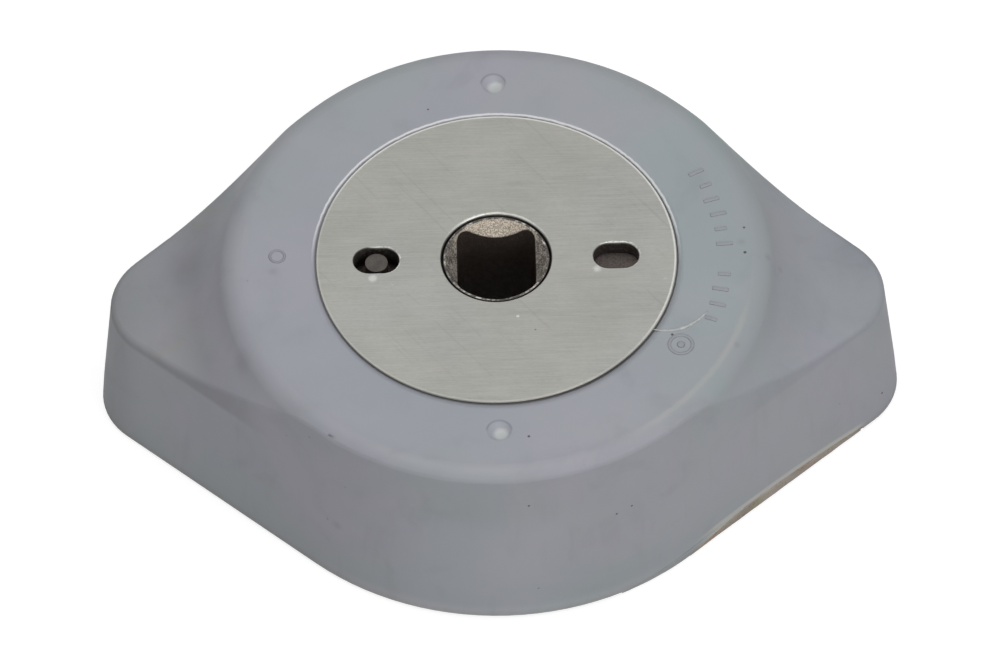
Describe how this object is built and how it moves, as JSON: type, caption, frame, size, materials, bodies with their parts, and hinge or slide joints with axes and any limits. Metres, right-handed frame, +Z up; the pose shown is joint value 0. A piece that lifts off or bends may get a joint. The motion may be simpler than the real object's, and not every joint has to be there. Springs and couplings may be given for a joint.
{
  "type": "transmission mount",
  "caption": "Rubber-bonded transmission mount: round metal plate over a square socket, domed grey moulding with two bolt-down ears.",
  "frame": {"origin": "middle of the underside, on the plane that the steel base plate rests on", "axes": "+X along the two ears, towards the slot without a pin; +Y towards the back; +Z up, out of the round plate"},
  "size_m": [0.1752, 0.1248, 0.047],
  "materials": {
    "grey_rubber": "matt moulded, with a light bloom",
    "ground_aluminium": "fine ground",
    "cast_core": "rough as cast",
    "dull_steel": "phosphated"
  },
  "bodies": {
    "root": {"rubber_body": "grey_rubber", "top_plate": "ground_aluminium", "core": "cast_core", "locating_pin": "dull_steel", "base_plate": "dull_steel", "weld_nut_left": "dull_steel", "weld_nut_right": "dull_steel"}
  },
  "joints": []
}
